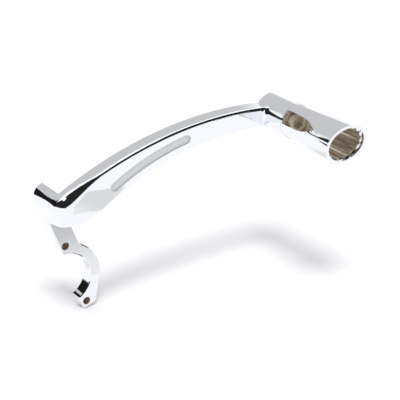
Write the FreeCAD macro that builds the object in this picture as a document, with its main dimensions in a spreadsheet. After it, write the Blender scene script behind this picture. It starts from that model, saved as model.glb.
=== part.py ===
import FreeCAD, Part

"""Gear shift lever: a bent lever arm with a clamp-on hook plate at one end and a hollow toe peg at the other.

Frame, in millimetres: the origin is the centre of the hook's round notch, on the plate's inboard face.
+X runs along the arm towards the peg, +Z is up, and -Y is outboard, the way the peg points.
"""

import math
import os

import Sketcher

# name: (value, what it measures)
SIZES = {
    "overrun": (1.0, "how far a cutting shape runs past the metal"),
    # hook plate
    "notch_radius": (19.0, "round notch that goes round the pivot boss"),
    "hook_rim": (7.8, "plate left outside the notch"),
    "plate_thickness": (9.0, "hook plate, along Y"),
    "bolt_circle": (25.5, "radius of the circle the two screw holes lie on"),
    "bolt_hole": (2.75, "radius of each screw hole"),
    "upper_bolt_angle": (90.0, "upper screw hole, degrees from +X"),
    "lower_bolt_angle": (-54.0, "lower screw hole, degrees from +X"),
    "rim_end_angle": (-17.0, "where the round rim ends and the foot of the hook begins"),
    "neck_lean": (20.5, "lean of the neck from upright, degrees"),
    "neck_inner": (4.9, "notch centre to the neck's near side"),
    "neck_width": (14.0, "width of the neck"),
    "neck_fillet": (10.0, "blend from the neck into the rim"),
    "hook_end_angle": (-61.0, "where the notch ends at the foot"),
    "foot_low": (26.5, "depth of the foot's lowest corner below the notch centre"),
    "foot_drop": (3.0, "rise of the foot's end from its low corner to its far one"),
    "foot_near": (12.8, "X of the foot's low corner"),
    "foot_far": (22.5, "X of the foot's far corner"),
    "plate_chamfer": (0.6, "edge break round the plate"),
    # joint between plate and arm
    "seam_height": (46.0, "height of the plate's shoulder, where the hub sits on it"),
    "tongue_height": (11.0, "tongue above the shoulder"),
    "tongue_wall": (1.8, "hub metal inboard of the tongue"),
    "tongue_thickness": (5.4, "tongue, along Y"),
    "tongue_shoulder": (3.2, "shoulder on each side of the tongue, across the neck"),
    "fixed_gap": (0.05, "clearance round the tongue"),
    "pin_radius": (1.5, "dowel pin"),
    "pin_length": (12.0, "dowel pin"),
    "lower_pin": (3.3, "shoulder to the lower dowel pin"),
    "upper_pin": (7.9, "shoulder to the upper dowel pin"),
    "pin_sunk": (0.3, "plate's inboard face to a dowel pin's end"),
    "pin_gap": (0.02, "clearance round a dowel pin"),
    # lever arm
    "hub_left": (17.6, "notch centre to the hub's rear face, along -X"),
    "hub_ridge": (11.0, "X of the ridge behind the hub's top, along -X"),
    "hub_shoulder": (4.0, "drop from that ridge to the hub's front side"),
    "arm_front": (35.0, "plate's inboard face to the arm's outer face"),
    "arm_thickness": (12.0, "arm, along Y"),
    "arch_x": (122.0, "X of the centre of the arm's top arc"),
    "arch_radius": (285.0, "arm's top arc"),
    "arch_drop": (180.0, "depth of the top arc's centre below the notch centre"),
    "belly_x": (130.0, "X of the centre of the arm's lower arc"),
    "belly_radius": (221.0, "arm's lower arc"),
    "belly_drop": (130.0, "depth of the lower arc's centre below the notch centre"),
    "heel_x": (12.0, "X where the lower arc meets the heel"),
    "heel_radius": (35.0, "round underside of the arm's heel"),
    "heel_low": (53.9, "height of the heel's rear corner"),
    "heel_rise": (1.6, "underside's rise short of the heel's rear corner"),
    "corner_radius": (8.0, "outer corner, where the arm turns inboard"),
    "inner_corner": (4.0, "inner corner, where the arm turns inboard"),
    "rim_hub": (4.2, "rounding of the top's outer edge, at the hub's inboard end"),
    "rim_corner": (7.2, "the same rounding round the outer corner"),
    "rim_arm": (2.2, "the same rounding along the arm"),
    "rim_change_x": (16.0, "X where the rounding has come down to its size along the arm"),
    # recess in the outer face
    "recess_arc_x": (113.0, "X of the centre of the recess's arc"),
    "recess_arc_drop": (76.0, "depth of that centre below the notch centre"),
    "recess_radius": (172.5, "middle line of the recess"),
    "recess_rear_angle": (120.6, "rear end of the middle line, degrees from +X"),
    "recess_front_angle": (100.2, "front end of the middle line, degrees from +X"),
    "recess_half": (3.3, "half the width of the recess"),
    "recess_depth": (0.9, "depth of the recess"),
    # boss and peg
    "peg_x": (161.5, "X of the peg's axis"),
    "peg_height": (96.3, "height of the peg's axis"),
    "boss_radius": (12.7, "round boss at the end of the arm"),
    "boss_length": (18.0, "boss beyond the arm's outer face"),
    "boss_chamfer": (0.8, "edge break at the boss's inboard end"),
    "boss_fillet": (2.5, "blend of the boss into the arm's outer face"),
    "socket_radius": (10.0, "socket in the boss for the peg's spigot"),
    "socket_depth": (12.0, "socket in the boss"),
    "thread_depth": (14.0, "tapped hole beyond the socket"),
    "run_gap": (0.05, "running clearance of the peg in the boss and on the screw"),
    "seam_gap": (0.15, "gap between the boss and the peg's shoulder"),
    "peg_length": (55.6, "peg's shoulder to its open end, on the axis"),
    "peg_flare": (2.5, "growth of the peg's radius from shoulder to open end"),
    "peg_clock": (-30.0, "how far the peg is turned on its screw, degrees"),
    "slash_angle": (18.0, "slant of the open end, degrees"),
    "web_thickness": (4.5, "floor of the spigot, which the screw clamps"),
    "spigot_wall": (1.7, "wall of the spigot"),
    "tube_wall": (3.3, "wall of the peg between its grooves"),
    "flutes": (16, "grooves round the bore"),
    "flute_radius": (1.5, "radius of a groove"),
    "flute_depth": (0.9, "depth of a groove"),
    "lip_depth": (2.6, "smooth lip of the bore in front of the grooves"),
    "lip_step": (0.15, "lip's radius over the bottoms of the grooves"),
    "window_half": (5.2, "half the width of a window"),
    "window_start": (1.4, "peg's shoulder to a window's square end"),
    "window_straight": (17.0, "straight sides of a window"),
    "window_length": (36.0, "whole length of a window"),
    "bore_step": (2.0, "peg's shoulder to the step between spigot bore and peg bore"),
    "bore_step_end": (8.0, "where that step ends"),
    "flute_start": (10.0, "inner end of the grooves"),
    # screw and washers
    "screw_radius": (4.76, "peg screw's shank"),
    "screw_length": (19.05, "under the head"),
    "head_radius": (7.15, "screw head"),
    "head_height": (9.5, "screw head"),
    "hex_flats": (7.94, "socket, across flats"),
    "hex_depth": (4.8, "socket"),
    "head_chamfer": (0.7, "edge break of the head"),
    "washer_radius": (7.9, "flat washer, outside"),
    "washer_thickness": (1.2, "flat washer"),
    "lock_radius": (7.4, "split lock washer, outside"),
    "lock_thickness": (1.3, "split lock washer"),
    "lock_split": (1.0, "gap in the lock washer"),
    "lock_slant": (30.0, "slant of that gap, degrees"),
    "washer_gap": (0.25, "clearance of both washers on the screw"),
}

doc = FreeCAD.newDocument("gear_shift_lever")
sheet = doc.addObject("Spreadsheet::Sheet", "Sizes")


def fill_sheet():
    """Put each size in column B, named, with its meaning beside it."""
    for row, (name, (value, meaning)) in enumerate(SIZES.items(), start=1):
        sheet.set(f"A{row}", name)
        sheet.set(f"B{row}", str(value))
        sheet.set(f"C{row}", meaning)
        sheet.setAlias(f"B{row}", name)
    doc.recompute()


def size(name):
    """A size as the sheet holds it."""
    return float(getattr(sheet, name))


def bind(text):
    """An expression in plain size names, as one that reads the sheet."""
    words = []
    word = ""
    for letter in text + " ":
        if letter.isalnum() or letter in "_.":
            word += letter
            continue
        words.append(f"Sizes.{word}" if word in SIZES else word)
        words.append(letter)
        word = ""
    return "".join(words).strip()


def number(text):
    """What an expression in plain size names is worth."""
    result = sheet.evalExpression(bind(text))
    return float(getattr(result, "Value", result))


def new_body(name):
    body = doc.addObject("PartDesign::Body", name)
    body.Label = name
    return body


def new_sketch(body, name, plane, offset=None):
    """A sketch on one of the body's own planes, moved along the plane's normal."""
    sketch = body.newObject("Sketcher::SketchObject", name)
    sketch.AttachmentSupport = [
        (feature, "") for feature in body.Origin.OriginFeatures if feature.Role == plane
    ]
    sketch.MapMode = "FlatFace"
    if offset:
        sketch.setExpression(".AttachmentOffset.Base.z", bind(offset))
    doc.recompute()
    return sketch


def hold(sketch, kind, *where, value):
    """Add a dimension and bind it to the sheet."""
    index = sketch.addConstraint(Sketcher.Constraint(kind, *where, number(value)))
    sketch.setExpression(f"Constraints[{index}]", bind(value))


def draw_outline(sketch, corners, arcs=None):
    """A closed outline. Each corner is (x, y) in size names; arcs[i] is (radius, turn) for the edge that leaves
    corner i, with turn "left" or "right" as the edge is followed."""
    arcs = arcs or {}
    points = [FreeCAD.Vector(number(x), number(y), 0) for x, y in corners]
    ends = []
    for i, start in enumerate(points):
        end = points[(i + 1) % len(points)]
        if i not in arcs:
            ends.append((sketch.addGeometry(Part.LineSegment(start, end), False), 1, 2))
            continue
        radius = number(arcs[i][0])
        left = arcs[i][1] == "left"
        chord = end - start
        rise = math.sqrt(max(radius**2 - (chord.Length / 2) ** 2, 0.0))
        across = FreeCAD.Vector(-chord.y, chord.x, 0).normalize()
        centre = (start + end) / 2 + across * (rise if left else -rise)
        first, last = (start, end) if left else (end, start)
        angles = [math.atan2(p.y - centre.y, p.x - centre.x) for p in (first, last)]
        if angles[1] < angles[0]:
            angles[1] += 2 * math.pi
        circle = Part.Circle(centre, FreeCAD.Vector(0, 0, 1), radius)
        arc = sketch.addGeometry(Part.ArcOfCircle(circle, *angles), False)
        ends.append((arc, 1, 2) if left else (arc, 2, 1))
    for i, (edge, start_point, _) in enumerate(ends):
        before, _, before_end = ends[i - 1]
        sketch.addConstraint(Sketcher.Constraint("Coincident", before, before_end, edge, start_point))
        hold(sketch, "DistanceX", edge, start_point, value=corners[i][0])
        hold(sketch, "DistanceY", edge, start_point, value=corners[i][1])
        if i in arcs:
            hold(sketch, "Radius", edge, value=arcs[i][0])


def draw_circle(sketch, x, y, radius):
    centre = FreeCAD.Vector(number(x), number(y), 0)
    circle = sketch.addGeometry(Part.Circle(centre, FreeCAD.Vector(0, 0, 1), number(radius)), False)
    hold(sketch, "DistanceX", circle, 3, value=x)
    hold(sketch, "DistanceY", circle, 3, value=y)
    hold(sketch, "Radius", circle, value=radius)


def pad(body, name, sketch, length):
    feature = body.newObject("PartDesign::Pad", name)
    feature.Profile = sketch
    feature.setExpression("Length", bind(length))
    doc.recompute()
    return feature


def cut(body, name, sketch, depth, backwards=False):
    """A pocket of the given depth, or right through both ways if depth is None. It must take metal away."""
    before = body.Tip.Shape.Volume
    feature = body.newObject("PartDesign::Pocket", name)
    feature.Profile = sketch
    feature.Reversed = backwards
    if depth is None:
        feature.Type = "ThroughAll"
        feature.Midplane = True
    else:
        feature.setExpression("Length", bind(depth))
    doc.recompute()
    if feature.Shape.Volume >= before:
        raise RuntimeError(f"{name} cuts nothing")
    return feature


def edges_where(feature, test):
    """Names of the feature's edges that pass the test all along."""
    return [
        f"Edge{i}"
        for i, edge in enumerate(feature.Shape.Edges, start=1)
        if all(test(spot) for spot in edge.discretize(7))
    ]


def dress(body, kind, name, edges, amount):
    """A fillet or chamfer on the tip's edges."""
    base = body.Tip
    feature = body.newObject(f"PartDesign::{kind}", name)
    feature.Base = (base, edges)
    feature.setExpression("Radius" if kind == "Fillet" else "Size", bind(amount))
    doc.recompute()
    return feature


CLOSE = 0.01


def near(a, b):
    return abs(a - b) < CLOSE


# A place on a line that leans like the neck: `off` is its distance from the notch centre, `high` its height.
def lean_x(off, high):
    return f"({off} - sin(neck_lean) * ({high})) / cos(neck_lean)"


NECK_OUTER = "(neck_inner + neck_width)"
RIM_RADIUS = "(notch_radius + hook_rim)"
UPRIGHT = "((neck_inner + hub_left * cos(neck_lean)) / sin(neck_lean))"
TONGUE_MIDDLE = "(neck_inner + neck_width / 2)"
PIN_HEIGHTS = ("(seam_height + lower_pin)", "(seam_height + upper_pin)")
SPIGOT = "(socket_depth + seam_gap - run_gap)"
WEB_FACE = "(web_thickness - socket_depth - seam_gap + run_gap)"
MOUTH = "(peg_length + boss_radius * tan(slash_angle) + peg_flare)"


def on_circle(radius, angle):
    return f"({radius}) * cos({angle})", f"({radius}) * sin({angle})"


def top_at(x):
    """Height of the arm's top arc."""
    return f"(sqrt(arch_radius^2 - ({x} - arch_x)^2) - arch_drop)"


def belly_at(x):
    """Height of the arm's lower arc."""
    return f"(sqrt(belly_radius^2 - ({x} - belly_x)^2) - belly_drop)"


def draw_leaning_bar(sketch, inset, low, high):
    """The tongue's outline, or its pocket's: a bar that leans with the neck."""
    near_side = f"(neck_inner + tongue_shoulder + {inset})"
    far_side = f"({NECK_OUTER} - tongue_shoulder - ({inset}))"
    draw_outline(sketch, [
        (lean_x(near_side, low), low),
        (lean_x(far_side, low), low),
        (lean_x(far_side, high), high),
        (lean_x(near_side, high), high),
    ])


def recess_spot(radius, angle, onward="0"):
    """A point of the recess: at an angle on one of its arcs, then onward along the arc's tangent."""
    x, z = on_circle(radius, angle)
    return (f"recess_arc_x + {x} - ({onward}) * sin({angle})",
            f"{z} - recess_arc_drop + ({onward}) * cos({angle})")


def make_lever_arm():
    body = new_body("lever_arm_blank")

    arm = new_sketch(body, "arm_side", "XZ_Plane", "arm_front - arm_thickness")
    draw_outline(arm, [
        ("-hub_left", UPRIGHT),
        (lean_x("neck_inner", "heel_low"), "heel_low"),
        ("heel_x", belly_at("heel_x")),
        ("peg_x", belly_at("peg_x")),
        ("peg_x", top_at("peg_x")),
        ("rim_change_x", top_at("rim_change_x")),
        ("-hub_left", top_at("(-hub_left)")),
    ], {
        1: ("heel_radius", "left"),
        2: ("belly_radius", "right"),
        4: ("arch_radius", "left"),
        5: ("arch_radius", "left"),
    })
    pad(body, "arm", arm, "arm_thickness")

    hub = new_sketch(body, "hub_side", "XZ_Plane")
    shoulder = f"({top_at('(-hub_ridge)')} - hub_shoulder)"
    draw_outline(hub, [
        ("-hub_left", UPRIGHT),
        (lean_x("neck_inner", "seam_height"), "seam_height"),
        (lean_x(NECK_OUTER, "seam_height"), "seam_height"),
        (lean_x(NECK_OUTER, shoulder), shoulder),
        ("-hub_ridge", top_at("(-hub_ridge)")),
        ("-hub_left", top_at("(-hub_left)")),
    ], {4: ("arch_radius", "left")})
    pad(body, "hub", hub, "arm_front")

    underside = new_sketch(body, "hub_underside", "YZ_Plane")
    draw_outline(underside, [
        ("-plate_thickness", "seam_height"),
        ("-(arm_front + overrun)", "heel_low - heel_rise"),
        ("-(arm_front + overrun)", "seam_height - overrun"),
        ("-plate_thickness", "seam_height - overrun"),
    ])
    cut(body, "underside", underside, None)

    def outer_corner(spot):
        return near(spot.y, -size("arm_front")) and near(spot.x, rear_x(spot.z))

    def rear_x(height):
        upright = number(UPRIGHT)
        return -size("hub_left") if height > upright else number(lean_x("neck_inner", str(height)))

    dress(body, "Fillet", "outer_corner", edges_where(body.Tip, outer_corner), "corner_radius")

    boss = new_sketch(body, "boss_side", "XZ_Plane", "arm_front - arm_thickness")
    draw_circle(boss, "peg_x", "peg_height", "boss_radius")
    pad(body, "boss", boss, "arm_thickness + boss_length")

    def on_boss(spot, along):
        from_axis = math.hypot(spot.x - size("peg_x"), spot.z - size("peg_height"))
        return near(spot.y, -number(along)) and near(from_axis, size("boss_radius"))

    def at_face(spot):
        return on_boss(spot, "arm_front")

    def at_back(spot):
        return on_boss(spot, "arm_front - arm_thickness")

    def inside_corner(spot):
        return near(spot.y, size("arm_thickness") - size("arm_front")) and on_neck_side(spot)

    dress(body, "Fillet", "boss_blend", edges_where(body.Tip, at_face), "boss_fillet")
    dress(body, "Chamfer", "boss_back", edges_where(body.Tip, at_back), "boss_chamfer")
    dress(body, "Fillet", "inner_corner_blend", edges_where(body.Tip, inside_corner), "inner_corner")

    recess = new_sketch(body, "recess_shape", "XZ_Plane", "arm_front")
    inner, outer = "(recess_radius - recess_half)", "(recess_radius + recess_half)"
    draw_outline(recess, [
        recess_spot(inner, "recess_rear_angle"),
        recess_spot(inner, "recess_front_angle"),
        recess_spot("recess_radius", "recess_front_angle", "-recess_half"),
        recess_spot(outer, "recess_front_angle"),
        recess_spot(outer, "recess_rear_angle"),
        recess_spot("recess_radius", "recess_rear_angle", "recess_half"),
    ], {
        0: (inner, "right"),
        1: ("recess_half", "left"),
        2: ("recess_half", "left"),
        3: (outer, "left"),
        4: ("recess_half", "left"),
        5: ("recess_half", "left"),
    })
    cut(body, "recess", recess, "recess_depth")

    socket = new_sketch(body, "socket_shape", "XZ_Plane", "arm_front + boss_length")
    draw_circle(socket, "peg_x", "peg_height", "socket_radius")
    cut(body, "socket", socket, "socket_depth")
    thread = new_sketch(body, "thread_shape", "XZ_Plane", "arm_front + boss_length - socket_depth")
    draw_circle(thread, "peg_x", "peg_height", "screw_radius + run_gap")
    cut(body, "thread", thread, "thread_depth")

    mortise = new_sketch(body, "mortise_shape", "XZ_Plane", "tongue_wall - fixed_gap")
    draw_leaning_bar(mortise, "(-fixed_gap)", "(seam_height - overrun)",
                     "(seam_height + tongue_height + fixed_gap)")
    cut(body, "mortise", mortise, "tongue_thickness + 2 * fixed_gap", backwards=True)
    drill_pin_holes(body, "pin_length + 2 * pin_sunk")
    return round_top_rim(body)


def round_top_rim(body):
    """Round the top's outer edge, more round the outer corner than along the hub and the arm."""
    rim = doc.addObject("Part::Fillet", "lever_arm")
    rim.Label = "lever_arm"
    rim.Base = body
    edges = []
    for i, edge in enumerate(body.Shape.Edges, start=1):
        first, last = edge.Vertexes[0].Point, edge.Vertexes[-1].Point
        if not all(on_top_rim(spot) for spot in edge.discretize(7)):
            continue
        edges.append((i, rim_radius_at(first), rim_radius_at(last)))
    rim.Edges = edges
    doc.recompute()
    return rim


def on_top_rim(spot):
    """On the outer edge of the arm's and the hub's top."""
    on_top = near(spot.z, number(top_at(f"({spot.x})")))
    outside = spot.y < -size("arm_front") + CLOSE or spot.x < -size("hub_left") + size("corner_radius")
    behind = near(spot.y, 0) and spot.x > -size("hub_left") + CLOSE
    return on_top and outside and not behind


def rim_radius_at(spot):
    if near(spot.y, 0):
        return size("rim_hub")
    return size("rim_arm" if spot.x > size("rim_change_x") - CLOSE else "rim_corner")


def drill_pin_holes(body, depth):
    holes = new_sketch(body, "pin_holes", "XZ_Plane")
    for height in PIN_HEIGHTS:
        draw_circle(holes, lean_x(TONGUE_MIDDLE, height), height, "pin_radius + pin_gap")
    cut(body, "pin_holes_cut", holes, depth, backwards=True)


def make_hook_plate():
    body = new_body("hook_plate")
    side = new_sketch(body, "plate_side", "XZ_Plane")
    notch_start = "sqrt(notch_radius^2 - neck_inner^2)"
    blend_out = f"({NECK_OUTER} + neck_fillet)"
    blend_reach = f"({RIM_RADIUS} + neck_fillet)"
    blend_up = f"sqrt({blend_reach}^2 - {blend_out}^2)"
    blend_x = f"({blend_out} * cos(neck_lean) - {blend_up} * sin(neck_lean))"
    blend_z = f"({blend_out} * sin(neck_lean) + {blend_up} * cos(neck_lean))"
    draw_outline(side, [
        (lean_x("neck_inner", "seam_height"), "seam_height"),
        (f"neck_inner * cos(neck_lean) - {notch_start} * sin(neck_lean)",
         f"neck_inner * sin(neck_lean) + {notch_start} * cos(neck_lean)"),
        on_circle("notch_radius", "hook_end_angle"),
        ("foot_near", "-foot_low"),
        ("foot_far", "foot_drop - foot_low"),
        on_circle(RIM_RADIUS, "rim_end_angle"),
        (f"{blend_x} * {RIM_RADIUS} / {blend_reach}", f"{blend_z} * {RIM_RADIUS} / {blend_reach}"),
        (f"{blend_x} - neck_fillet * cos(neck_lean)", f"{blend_z} - neck_fillet * sin(neck_lean)"),
        (lean_x(NECK_OUTER, "seam_height"), "seam_height"),
    ], {
        1: ("notch_radius", "right"),
        5: (RIM_RADIUS, "left"),
        6: ("neck_fillet", "right"),
    })
    pad(body, "plate", side, "plate_thickness")

    bolts = new_sketch(body, "bolt_holes", "XZ_Plane")
    for angle in ("upper_bolt_angle", "lower_bolt_angle"):
        draw_circle(bolts, *on_circle("bolt_circle", angle), "bolt_hole")
    cut(body, "bolt_holes_cut", bolts, None)

    holes = [
        (size("bolt_circle") * math.cos(math.radians(size(angle))),
         size("bolt_circle") * math.sin(math.radians(size(angle))))
        for angle in ("upper_bolt_angle", "lower_bolt_angle")
    ]

    def outline_edge(spot):
        """On a face's outline: not a hole's edge, nor the notch's on the face that seats on the boss."""
        inboard = near(spot.y, 0)
        if not inboard and not near(spot.y, -size("plate_thickness")):
            return False
        if inboard and near(math.hypot(spot.x, spot.z), size("notch_radius")):
            return False
        return all(math.hypot(spot.x - x, spot.z - z) > size("bolt_hole") + CLOSE for x, z in holes)

    def broken_edge(spot):
        return outline_edge(spot) and (spot.z < size("seam_height") - CLOSE or on_neck_side(spot))

    dress(body, "Chamfer", "edge_break", edges_where(body.Tip, broken_edge), "plate_chamfer")

    tongue = new_sketch(body, "tongue_shape", "XZ_Plane", "tongue_wall")
    draw_leaning_bar(tongue, "0", "(seam_height - overrun)", "(seam_height + tongue_height)")
    pad(body, "tongue", tongue, "tongue_thickness")
    drill_pin_holes(body, None)
    return body


def on_neck_side(spot):
    """On one of the neck's two side faces."""
    return any(near(spot.x, number(lean_x(side, str(spot.z)))) for side in ("neck_inner", NECK_OUTER))


def facing_out(feature, along):
    """Stand a piece that was made along +Z on the peg's axis, `along` outboard of the peg's shoulder."""
    feature.Placement.Rotation = FreeCAD.Rotation(FreeCAD.Vector(1, 0, 0), 90)
    feature.setExpression(".Placement.Base.x", bind("peg_x"))
    feature.setExpression(".Placement.Base.y", bind(f"-(arm_front + boss_length + seam_gap + {along})"))
    feature.setExpression(".Placement.Base.z", bind("peg_height"))


def make_dowel_pins():
    pins = []
    for i, height in enumerate(PIN_HEIGHTS, start=1):
        pin = doc.addObject("Part::Cylinder", f"dowel_pin_{i}")
        pin.setExpression("Radius", bind("pin_radius"))
        pin.setExpression("Height", bind("pin_length"))
        pin.Placement.Rotation = FreeCAD.Rotation(FreeCAD.Vector(1, 0, 0), 90)
        pin.setExpression(".Placement.Base.x", bind(lean_x(TONGUE_MIDDLE, height)))
        pin.setExpression(".Placement.Base.y", bind("-pin_sunk"))
        pin.setExpression(".Placement.Base.z", bind(height))
        pins.append(pin)
    group = doc.addObject("Part::Compound", "plate_dowel_pins")
    group.Label = "plate_dowel_pins"
    group.Links = pins
    doc.recompute()
    return group


def bore_at(z):
    """Radius of the peg's bore between its step and its mouth."""
    return f"(boss_radius - tube_wall + peg_flare * ({z}) / peg_length)"


def turn_round(body, name, corners):
    """Revolve a half section, (radius, along), about the body's Z axis."""
    half = new_sketch(body, f"{name}_half", "XZ_Plane")
    draw_outline(half, corners)
    turned = body.newObject("PartDesign::Revolution", name)
    turned.Profile = half
    turned.ReferenceAxis = (half, ["V_Axis"])
    turned.Angle = 360
    doc.recompute()


def slash_off(body, name, middle):
    """Cut away all beyond a slanted plane that meets the axis at `middle`."""
    slash = new_sketch(body, f"{name}_shape", "YZ_Plane")
    reach = "2 * boss_radius"
    draw_outline(slash, [
        (f"-{reach}", f"{middle} - {reach} * tan(slash_angle)"),
        (reach, f"{middle} + {reach} * tan(slash_angle)"),
        (reach, "2 * peg_length"),
        (f"-{reach}", "2 * peg_length"),
    ])
    cut(body, name, slash, None)


def make_peg_tube():
    body = new_body("peg_tube")
    spigot = "(socket_radius - run_gap)"
    lip = "(flute_depth + lip_step)"
    turn_round(body, "ribbed_sleeve", [
        ("screw_radius + run_gap", f"-{SPIGOT}"),
        (spigot, f"-{SPIGOT}"),
        (spigot, "0"),
        (f"{bore_at('0')} + (tube_wall + {lip}) / 2", "0"),
        (f"{bore_at(MOUTH)} + (tube_wall + {lip}) / 2", MOUTH),
        (bore_at(MOUTH), MOUTH),
        (bore_at("bore_step_end"), "bore_step_end"),
        (f"{spigot} - spigot_wall", "bore_step"),
        (f"{spigot} - spigot_wall", WEB_FACE),
        ("screw_radius + run_gap", WEB_FACE),
    ])
    slash_off(body, "sleeve_end", "peg_length - lip_depth")
    turn_round(body, "shell", [
        (f"{bore_at('0')} + {lip}", "0"),
        ("boss_radius", "0"),
        (f"boss_radius + peg_flare * {MOUTH} / peg_length", MOUTH),
        (f"{bore_at(MOUTH)} + {lip}", MOUTH),
    ])
    slash_off(body, "slash", "peg_length")

    one_side = "boss_radius + peg_flare + overrun"
    for plane, depth in (("XZ_Plane", None), ("YZ_Plane", one_side)):
        window = new_sketch(body, f"window_{plane[:2]}", plane)
        draw_outline(window, [
            ("-window_half", "window_start"),
            ("window_half", "window_start"),
            ("window_half", "window_straight"),
            ("0", "window_length"),
            ("-window_half", "window_straight"),
        ], {2: ("2 * (window_length - window_straight)", "left"),
            3: ("2 * (window_length - window_straight)", "left")})
        cut(body, f"windows_{plane[:2]}", window, depth)

    rings = []
    for name, z in (("flute_inner", "flute_start"), ("flute_outer", MOUTH)):
        ring = new_sketch(body, name, "XY_Plane", z)
        draw_circle(ring, f"{bore_at(z)} + flute_depth - flute_radius", "0", "flute_radius")
        rings.append(ring)
    flute = body.newObject("PartDesign::SubtractiveLoft", "flute")
    flute.Profile = rings[0]
    flute.Sections = [rings[1]]
    doc.recompute()
    flutes = body.newObject("PartDesign::PolarPattern", "flutes")
    flutes.Originals = [flute]
    flutes.Axis = (rings[0], ["N_Axis"])
    flutes.Angle = 360
    flutes.setExpression("Occurrences", bind("flutes"))
    body.Tip = flutes
    doc.recompute()

    facing_out(body, "0")
    turn = FreeCAD.Rotation(FreeCAD.Vector(0, 0, 1), size("peg_clock"))
    body.Placement.Rotation = body.Placement.Rotation.multiply(turn)
    return body


HEAD_SEAT = f"({WEB_FACE} + run_gap + washer_thickness + lock_thickness)"


def make_peg_screw():
    body = new_body("peg_cap_screw")
    head = new_sketch(body, "head_shape", "XY_Plane")
    draw_circle(head, "0", "0", "head_radius")
    pad(body, "head", head, "head_height")
    crown = [f"Edge{i}" for i, edge in enumerate(body.Tip.Shape.Edges, start=1)
             if near(edge.CenterOfMass.z, size("head_height")) and edge.Closed]
    dress(body, "Chamfer", "crown", crown, "head_chamfer")
    hexagon = new_sketch(body, "hex_shape", "XY_Plane", "head_height")
    draw_outline(hexagon, [on_circle("hex_flats / 2 / cos(30)", str(60 * k + 30)) for k in range(6)])
    cut(body, "hex", hexagon, "hex_depth")
    shank = new_sketch(body, "shank_shape", "XY_Plane")
    draw_circle(shank, "0", "0", "screw_radius")
    pad(body, "shank", shank, "screw_length").Reversed = True
    doc.recompute()
    facing_out(body, HEAD_SEAT)
    return body


def make_ring(name, outside, thickness, along):
    """A washer: a disc with a hole, standing on the peg's axis."""
    disc = doc.addObject("Part::Cylinder", f"{name}_disc")
    disc.setExpression("Radius", bind(outside))
    disc.setExpression("Height", bind(thickness))
    hole = doc.addObject("Part::Cylinder", f"{name}_hole")
    hole.setExpression("Radius", bind("screw_radius + washer_gap"))
    hole.setExpression("Height", bind(thickness))
    ring = doc.addObject("Part::Cut", name)
    ring.Base = disc
    ring.Tool = hole
    ring.Label = name
    doc.recompute()
    if along:
        facing_out(ring, along)
    return ring


def make_lock_washer():
    ring = make_ring("lock_ring", "lock_radius", "lock_thickness", None)
    gap = doc.addObject("Part::Box", "lock_gap")
    gap.setExpression("Length", bind("lock_split"))
    gap.setExpression("Width", bind("2 * lock_radius"))
    gap.setExpression("Height", bind("4 * lock_thickness"))
    gap.Placement.Rotation = FreeCAD.Rotation(FreeCAD.Vector(0, 1, 0), size("lock_slant"))
    gap.setExpression(".Placement.Base.z", bind("-lock_thickness"))
    washer = doc.addObject("Part::Cut", "peg_lock_washer")
    washer.Base = ring
    washer.Tool = gap
    washer.Label = "peg_lock_washer"
    doc.recompute()
    facing_out(washer, f"({WEB_FACE} + run_gap + washer_thickness)")
    return washer


def write_steps(pieces):
    """Check every object of the document, then write one file for each piece."""
    doc.recompute()
    for item in doc.Objects:
        if "Invalid" in item.State or "Error" in item.State:
            raise RuntimeError(f"{item.Name} failed: {item.State}")
    for piece in pieces:
        if piece.Shape.isNull() or not piece.Shape.isValid():
            raise RuntimeError(f"{piece.Label} has no valid shape")
    os.makedirs("parts", exist_ok=True)
    for piece in pieces:
        piece.Shape.exportStep(f"parts/{piece.Label}.step")
        print(f"{piece.Label}: {piece.Shape.Volume:.0f} mm3, {len(piece.Shape.Solids)} solid(s)")


fill_sheet()
write_steps([
    make_lever_arm(),
    make_hook_plate(),
    make_dowel_pins(),
    make_peg_tube(),
    make_peg_screw(),
    make_ring("peg_flat_washer", "washer_radius", "washer_thickness", f"({WEB_FACE} + run_gap)"),
    make_lock_washer(),
])
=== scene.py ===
"""Gear shift lever: a polished chrome arm with a clamp-on hook plate and a hollow toe peg on its screw.

Everything is in metres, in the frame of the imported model: +X along the arm, +Z up, -Y outboard.
"""

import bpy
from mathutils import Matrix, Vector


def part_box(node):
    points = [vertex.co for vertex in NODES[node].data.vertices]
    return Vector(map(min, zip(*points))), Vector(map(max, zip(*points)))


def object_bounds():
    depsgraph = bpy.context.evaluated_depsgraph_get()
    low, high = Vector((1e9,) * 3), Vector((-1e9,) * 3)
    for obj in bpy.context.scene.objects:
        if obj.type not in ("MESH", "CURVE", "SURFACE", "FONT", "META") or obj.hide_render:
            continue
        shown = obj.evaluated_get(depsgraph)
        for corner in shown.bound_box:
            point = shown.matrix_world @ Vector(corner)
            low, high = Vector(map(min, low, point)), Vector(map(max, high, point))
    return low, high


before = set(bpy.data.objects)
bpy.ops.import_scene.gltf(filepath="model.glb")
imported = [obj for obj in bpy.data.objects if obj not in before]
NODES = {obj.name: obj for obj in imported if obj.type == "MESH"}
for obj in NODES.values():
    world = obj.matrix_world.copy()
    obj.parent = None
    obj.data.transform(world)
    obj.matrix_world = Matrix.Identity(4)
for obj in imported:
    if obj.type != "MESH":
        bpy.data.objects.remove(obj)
cad_box = [list(corner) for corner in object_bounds()]

import math

import bpy
from mathutils import Vector

MM = 0.001
FLOOR = cad_box[0][2]
CHROME = "#F1F3F6"


def box_middle(node, axis):
    """Middle of a node's box along one axis."""
    low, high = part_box(node)
    return (low[axis] + high[axis]) / 2


PEG_X = box_middle("peg_flat_washer", 0)
PEG_Z = box_middle("peg_flat_washer", 2)
BOSS_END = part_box("lever_arm")[0][1]
ARM_FACE = BOSS_END + 18.0 * MM
PEG_SHOULDER = BOSS_END - 0.15 * MM

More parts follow.
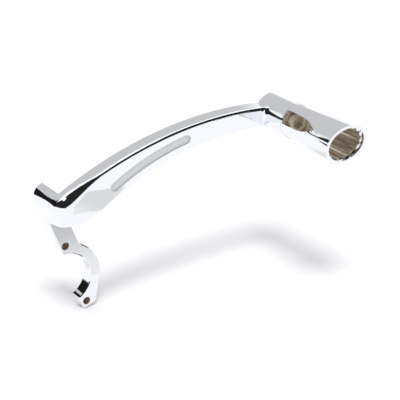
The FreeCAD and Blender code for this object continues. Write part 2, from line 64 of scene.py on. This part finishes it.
# The recess in the arm's face: a band along an arc, with the arc's centre in X and Z.
RECESS_DEPTH = 0.9 * MM
RECESS_CENTRE = (113 * MM, -76 * MM)
RECESS_RADIUS = 172.5 * MM
RECESS_HALF = 3.3 * MM
RECESS_REAR, RECESS_FRONT = 20 * MM, 100 * MM

# The peg: its root is as wide as the boss, and its mouth is cut at a slant.
BOSS_RADIUS = 12.7 * MM
PEG_LENGTH = 55.6 * MM
PEG_FLARE = 2.5 * MM
SLASH_TURN = math.radians(60)
SLASH_LEAN = math.radians(18)
CHROME_SKIN = 0.35 * MM
MOUTH_LIP = 2.7 * MM

# The hook plate's two screw holes, by the X and Z of their middles.
SCREW_HOLES = ((0.0, 25.5 * MM), (14.99 * MM, -20.63 * MM))
SCREW_HOLE_RADIUS = 2.8 * MM


# ---------------------------------------------------------------- materials

def linear(colour):
    """sRGB hex to linear light, with full alpha."""
    parts = [int(colour[i:i + 2], 16) / 255 for i in (1, 3, 5)]
    return [p / 12.92 if p <= 0.04045 else ((p + 0.055) / 1.055) ** 2.4 for p in parts] + [1.0]


def add(tree, kind, settings=None, links=None):
    """A node with its settings, by property or else by socket, and what feeds its sockets."""
    node = tree.nodes.new(f"ShaderNode{kind}")
    for name, value in (settings or {}).items():
        if isinstance(name, str) and hasattr(node, name):
            setattr(node, name, value)
        else:
            node.inputs[name].default_value = value
    for name, source in (links or {}).items():
        tree.links.new(source, node.inputs[name])
    return node


def new_finish(name, base, metallic, roughness, **constants):
    """A material with its shader, and the Object coordinates its patterns read."""
    finish = bpy.data.materials.new(name)
    finish.use_nodes = True
    tree = finish.node_tree
    shader = tree.nodes["Principled BSDF"]
    shader.inputs["Base Color"].default_value = linear(base)
    shader.inputs["Metallic"].default_value = metallic
    shader.inputs["Roughness"].default_value = roughness
    for socket, value in constants.items():
        shader.inputs[socket].default_value = value
    place = add(tree, "TexCoord").outputs["Object"]
    return finish, tree, shader, place


def noise(tree, place, grain, detail=3.0, stretch=None):
    """Noise whose grains are `grain` metres across, and `stretch` times as long along each axis."""
    if stretch:
        longer = {"vector_type": "TEXTURE", "Scale": stretch}
        place = add(tree, "Mapping", longer, {"Vector": place}).outputs[0]
    return add(tree, "TexNoise", {"Scale": 1 / grain, "Detail": detail}, {"Vector": place}).outputs[0]


def remap(tree, value, low, high, to_low, to_high):
    """A value between low and high taken to the matching place between to_low and to_high."""
    ends = {"From Min": low, "From Max": high, "To Min": to_low, "To Max": to_high}
    return add(tree, "MapRange", ends, {"Value": value}).outputs[0]


def maths(tree, operation, first, second, margin=None):
    """A Math node's result. The first input is a socket, the second a socket or a number."""
    node = add(tree, "Math", {"operation": operation}, {0: first})
    if isinstance(second, (int, float)):
        node.inputs[1].default_value = second
    else:
        tree.links.new(second, node.inputs[1])
    if margin is not None:
        node.inputs[2].default_value = margin
    return node.outputs[0]


def polished_chrome(name):
    """Show chrome over polished aluminium: a mirror with slow hand-polished ripples, hair-fine scratches
    and a slightly duller haze in patches."""
    finish, tree, shader, place = new_finish(name, CHROME, 1.0, 0.035)
    haze = noise(tree, place, 9 * MM)
    scratch = noise(tree, place, 0.5 * MM, 2.0, (6, 1, 1))
    rough = maths(tree, "MULTIPLY", haze, scratch)
    tree.links.new(remap(tree, rough, 0.15, 0.4, 0.02, 0.06), shader.inputs["Roughness"])
    ripple = add(tree, "Bump", {"Strength": 0.12, "Distance": 0.08 * MM},
                 {"Height": noise(tree, place, 14 * MM, 1.0)})
    fine = add(tree, "Bump", {"Strength": 0.03, "Distance": 0.01 * MM},
               {"Height": scratch, "Normal": ripple.outputs[0]})
    tree.links.new(fine.outputs[0], shader.inputs["Normal"])
    return finish, tree, shader, place


def dress(node, finish):
    """Puts a finish in every material slot of a node."""
    target = NODES[node]
    if not target.material_slots:
        target.data.materials.append(finish)
    for slot in target.material_slots:
        slot.material = finish


def mix_colour(tree, factor, first, second):
    """From the first colour to the second as the factor goes from 0 to 1."""
    colours = {"data_type": "RGBA", 6: linear(first), 7: linear(second)}
    return add(tree, "Mix", colours, {0: factor}).outputs[2]


def mix_value(tree, factor, first, second):
    """From the first value to the second as the factor goes from 0 to 1."""
    return add(tree, "Mix", {"data_type": "FLOAT"}, {0: factor, 2: first, 3: second}).outputs[0]


def distance_from_line(tree, place, x, z):
    """Distance from a line along Y through that x and z."""
    centred = add(tree, "VectorMath", {"operation": "SUBTRACT", 1: (x, 0, z)}, {0: place}).outputs[0]
    flat = add(tree, "VectorMath", {"operation": "MULTIPLY", 1: (1, 0, 1)}, {0: centred}).outputs[0]
    return add(tree, "VectorMath", {"operation": "LENGTH"}, {0: flat}).outputs["Value"]


def arm_finish():
    """Show chrome on the arm; the floor of its recess was left as the cutter left it, satin and pale."""
    finish, tree, shader, place = polished_chrome("show chrome, satin recess")
    x, y, _ = add(tree, "SeparateXYZ", links={0: place}).outputs
    mask = maths(tree, "COMPARE", y, ARM_FACE + RECESS_DEPTH, RECESS_DEPTH / 2)
    for other in (maths(tree, "LESS_THAN", x, RECESS_FRONT),
                  maths(tree, "GREATER_THAN", x, RECESS_REAR),
                  maths(tree, "COMPARE", distance_from_line(tree, place, *RECESS_CENTRE), RECESS_RADIUS,
                        RECESS_HALF + 0.3 * MM)):
        mask = maths(tree, "MULTIPLY", mask, other)
    rough = shader.inputs["Roughness"].links[0].from_socket
    grain = remap(tree, noise(tree, place, 0.35 * MM, 2.0, (5, 1, 1)), 0.3, 0.7, 0.38, 0.52)
    tree.links.new(mix_value(tree, mask, rough, grain), shader.inputs["Roughness"])
    tree.links.new(mix_colour(tree, mask, CHROME, "#D3D5D6"), shader.inputs["Base Color"])
    tree.links.new(remap(tree, mask, 0.0, 1.0, 1.0, 0.35), shader.inputs["Metallic"])
    return finish


def bare_inside(finish, tree, shader, place, inner, streak, colours, dullness):
    """Where the plating is thin, a duller yellowish metal shows through it, with streaks."""
    worn = mix_colour(tree, remap(tree, streak, 0.35, 0.65, 0.0, 1.0), *colours)
    colour = add(tree, "Mix", {"data_type": "RGBA", 6: linear(CHROME)}, {0: inner, 7: worn}).outputs[2]
    tree.links.new(colour, shader.inputs["Base Color"])
    rough = shader.inputs["Roughness"].links[0].from_socket
    tree.links.new(remap(tree, inner, 0.0, 1.0, 1.0, 0.5), shader.inputs["Metallic"])
    dull = remap(tree, noise(tree, place, 4 * MM), 0.3, 0.7, *dullness)
    tree.links.new(mix_value(tree, inner, rough, dull), shader.inputs["Roughness"])
    return finish


def plate_finish():
    """Show chrome on the plate, with thin brownish plating down its two screw holes."""
    finish, tree, shader, place = polished_chrome("show chrome, hook plate")
    inside = [maths(tree, "LESS_THAN", distance_from_line(tree, place, x, z), SCREW_HOLE_RADIUS)
              for x, z in SCREW_HOLES]
    return bare_inside(finish, tree, shader, place, maths(tree, "MAXIMUM", *inside),
                       noise(tree, place, 1.5 * MM), ("#7A6250", "#B59C86"), (0.3, 0.45))


def peg_finish():
    """Show chrome outside and on the slanted mouth; inside the bore and the windows the plating is thin,
    so dull yellowish nickel shows, with streaks along the grooves."""
    finish, tree, shader, place = polished_chrome("show chrome, nickel bore")
    shoulder = (PEG_X, PEG_SHOULDER, PEG_Z)
    centred = add(tree, "VectorMath", {"operation": "SUBTRACT", 1: shoulder}, {0: place}).outputs[0]
    outboard = add(tree, "SeparateXYZ", links={0: centred}).outputs[1]
    taper = {"clamp": False, "From Min": 0.0, "From Max": -PEG_LENGTH, "To Min": BOSS_RADIUS,
             "To Max": BOSS_RADIUS + PEG_FLARE}
    outside = add(tree, "MapRange", taper, {"Value": outboard}).outputs[0]
    depth = maths(tree, "SUBTRACT", outside, distance_from_line(tree, place, PEG_X, PEG_Z))
    lean = math.tan(SLASH_LEAN)
    slant = (lean * math.cos(SLASH_TURN), 1.0, lean * math.sin(SLASH_TURN))
    along = add(tree, "VectorMath", {"operation": "DOT_PRODUCT", 1: slant}, {0: centred})
    inner = maths(tree, "MULTIPLY", maths(tree, "GREATER_THAN", depth, CHROME_SKIN),
                  maths(tree, "GREATER_THAN", along.outputs["Value"], MOUTH_LIP - PEG_LENGTH))
    streak = noise(tree, place, 2.2 * MM, 2.0, (1, 14, 1))
    return bare_inside(finish, tree, shader, place, inner, streak, ("#A89984", "#E4DCCD"), (0.12, 0.26))


def steel_finish(name, pale, dark, low, high):
    """Dull zinc or nickel plated steel: a pale film hides much of its shine, blotched where it is thin."""
    finish, tree, shader, place = new_finish(name, pale, 0.35, low)
    blotch = noise(tree, place, 1.5 * MM, 4.0)
    tree.links.new(mix_colour(tree, remap(tree, blotch, 0.35, 0.65, 0.0, 1.0), dark, pale),
                   shader.inputs["Base Color"])
    tree.links.new(remap(tree, blotch, 0.3, 0.7, low, high), shader.inputs["Roughness"])
    fine = add(tree, "Bump", {"Strength": 0.15, "Distance": 0.03 * MM},
               {"Height": noise(tree, place, 0.6 * MM)})
    tree.links.new(fine.outputs[0], shader.inputs["Normal"])
    return finish


dress("lever_arm", arm_finish())
dress("hook_plate", plate_finish())
dress("peg_tube", peg_finish())
dress("peg_cap_screw", steel_finish("nickel plated screw", "#F4EBDC", "#D0C2AD", 0.30, 0.42))
dress("peg_flat_washer", steel_finish("zinc plated washer", "#DDD3C3", "#B1A79A", 0.3, 0.45))
dress("peg_lock_washer", steel_finish("zinc plated spring washer", "#C2B7A5", "#94897A", 0.3, 0.45))
dress("plate_dowel_pins", steel_finish("ground dowel steel", "#C9C9C7", "#A9A9A6", 0.15, 0.25))


# ---------------------------------------------------------------- studio

FLOOR_REACH = 5.0
BLACK = 0.012
CARD_HEIGHT = FLOOR + 0.001


def stage_sheet(name, corners, finish):
    """A flat sheet of the studio, by its corners."""
    mesh = bpy.data.meshes.new(name)
    mesh.from_pydata(corners, [], [tuple(range(len(corners)))])
    sheet = bpy.data.objects.new(name, mesh)
    bpy.context.scene.collection.objects.link(sheet)
    mesh.materials.append(finish)
    return sheet


def standing(y, left, right, bottom, top):
    """Corners of an upright sheet across Y."""
    return [(left, y, bottom), (right, y, bottom), (right, y, top), (left, y, top)]


def lying(height, *corners):
    """Corners of a level sheet, by its X and Y corners."""
    return [(x, y, height) for x, y in corners]


def flag(name, corners, brightness, far_brightness=None, axis=0, start=0.0, end=1.0):
    """A glowing card or a black flag out of the camera's view, which paints a reflection: the chrome sees
    it, and nothing else does.
    Its brightness may change to far_brightness between two places along an axis."""
    glow = bpy.data.materials.new(name)
    glow.use_nodes = True
    tree = glow.node_tree
    tree.nodes.clear()
    light = add(tree, "Emission", {"Color": linear("#FFFFFF"), "Strength": brightness})
    add(tree, "OutputMaterial", links={"Surface": light.outputs[0]})
    if far_brightness is not None:
        parts = add(tree, "SeparateXYZ", links={0: add(tree, "TexCoord").outputs["Object"]})
        change = {"interpolation_type": "SMOOTHSTEP", "From Min": start, "From Max": end,
                  "To Min": brightness, "To Max": far_brightness}
        fade = add(tree, "MapRange", change, {"Value": parts.outputs[axis]})
        tree.links.new(fade.outputs[0], light.inputs["Strength"])
    sheet = stage_sheet(name, corners, glow)
    sheet.visible_camera = sheet.visible_diffuse = False
    sheet.visible_shadow = sheet.visible_transmission = False


paper, _, shader, _ = new_finish("studio floor paper", "#FAFAFC", 0.0, 0.9)
shader.inputs["Specular IOR Level"].default_value = 0.0
stage_sheet("floor", lying(FLOOR, (-FLOOR_REACH, -FLOOR_REACH), (FLOOR_REACH, -FLOOR_REACH),
                           (FLOOR_REACH, FLOOR_REACH), (-FLOOR_REACH, FLOOR_REACH)), paper)
# Sheets seen only in the chrome: the black flags paint dark reflections, and the grey cards glow to paint
# grey reflections.
flag("black flag behind the hub", standing(0.20, -0.60, -0.088, FLOOR + 0.03, 0.34), BLACK)
flag("small flag behind the boss", standing(0.20, -0.062, -0.028, 0.102, 0.15), BLACK)
flag("small flag behind the notch", standing(0.05, -0.008, 0.022, 0.004, 0.042), BLACK)
# Painted reflection of shade on the floor, darker further out in front of the hook.
flag("card painting reflected floor shade before the hook",
     lying(CARD_HEIGHT, (0.03, -0.17), (0.12, -0.17), (0.12, -0.05), (0.03, -0.05)),
     0.62, 0.93, axis=1, start=-0.135, end=-0.06)
# Painted grey patch in the heel's reflection, darker towards +X.
flag("card painting a grey reflection before the heel",
     lying(CARD_HEIGHT, (0.086, -0.206), (0.112, -0.200), (0.152, -0.232), (0.109, -0.242)),
     0.93, 0.78, axis=0, start=0.088, end=0.112)

world = bpy.data.worlds.new("studio")
bpy.context.scene.world = world
world.use_nodes = True
sky = world.node_tree
direction = add(sky, "TexCoord").outputs["Generated"]
across, ahead, upward = add(sky, "SeparateXYZ", links={0: direction}).outputs
elevation = add(sky, "Math", {"operation": "ARCSINE"}, {0: upward}).outputs[0]
azimuth = maths(sky, "ARCTAN2", across, ahead)


def ramp_in(value, start, end):
    """0 before `start`, 1 after `end`, smooth between, in degrees."""
    ends = {"From Min": math.radians(start), "From Max": math.radians(end)}
    return add(sky, "MapRange", {"interpolation_type": "SMOOTHSTEP", **ends}, {"Value": value}).outputs[0]


def times(a, b):
    """The product of two of the sky's values."""
    return maths(sky, "MULTIPLY", a, b)


def lay_over(below, above, factor):
    """One brightness over another, each a number or a socket."""
    mix = add(sky, "Mix", {"data_type": "FLOAT"}, {"Factor": factor})
    for socket, value in (("A", below), ("B", above)):
        if isinstance(value, float):
            mix.inputs[socket].default_value = value
        else:
            sky.links.new(value, mix.inputs[socket])
    return mix.outputs[0]


def panel(below, brightness, turn, rise, soft=2.0):
    """A panel of that brightness over the studio, between two azimuths (0 at +Y, 90 at +X) and two
    elevations, in degrees, with soft edges."""
    inside = [times(ramp_in(angle, start - soft, start + soft), ramp_in(angle, end + soft, end - soft))
              for angle, (start, end) in ((azimuth, turn), (elevation, rise))]
    return lay_over(below, brightness, times(*inside))


# Each panel's brightness, azimuths and elevations, laid one over another on a dim sky.
level = 0.30
for brightness, turn, rise in (
        (0.62, (-36, 38), (1, 46)),
        (1.0, (-62, -36), (3, 46)),
        (1.05, (38, 75), (-5, 46)),
        (0.02, (-190, -50), (-5, 76)),
        (0.02, (85, 190), (9, 76)),
        (0.9, (75, 190), (-5, 9)),
        (1.3, (-50, 88), (45, 95)),
        (1.3, (-190, 190), (76, 95)),
):
    level = panel(level, brightness, turn, rise)
rays = add(sky, "LightPath")
level = lay_over(level, 0.68, rays.outputs["Is Diffuse Ray"])
level = lay_over(level, 1.0, rays.outputs["Is Camera Ray"])
sky.links.new(level, sky.nodes["Background"].inputs["Strength"])
sky.nodes["Background"].inputs["Color"].default_value = (1, 1, 1, 1)

key = bpy.data.objects.new("key light", bpy.data.lights.new("key light", "SUN"))
key.data.energy = 1.5
key.data.angle = math.radians(15)
key.rotation_mode = "QUATERNION"
key.rotation_quaternion = Vector((0.28, 0.45, -1.0)).to_track_quat("-Z", "Y")
key.visible_glossy = False
bpy.context.scene.collection.objects.link(key)

# ---------------------------------------------------------------- camera

toward = Vector((-0.5172, -0.7582, 0.3971)).normalized()
camera = bpy.data.objects.new("camera", bpy.data.cameras.new("camera"))
camera.data.lens = 126
camera.data.sensor_width = 36
camera.data.clip_start, camera.data.clip_end = 0.05, 50
camera.location = Vector((-411.36, -775.15, 434.07)) * MM
camera.rotation_mode = "QUATERNION"
camera.rotation_quaternion = (-toward).to_track_quat("-Z", "Y")
bpy.context.scene.collection.objects.link(camera)
bpy.context.scene.camera = camera
bpy.context.scene.view_settings.view_transform = "Standard"
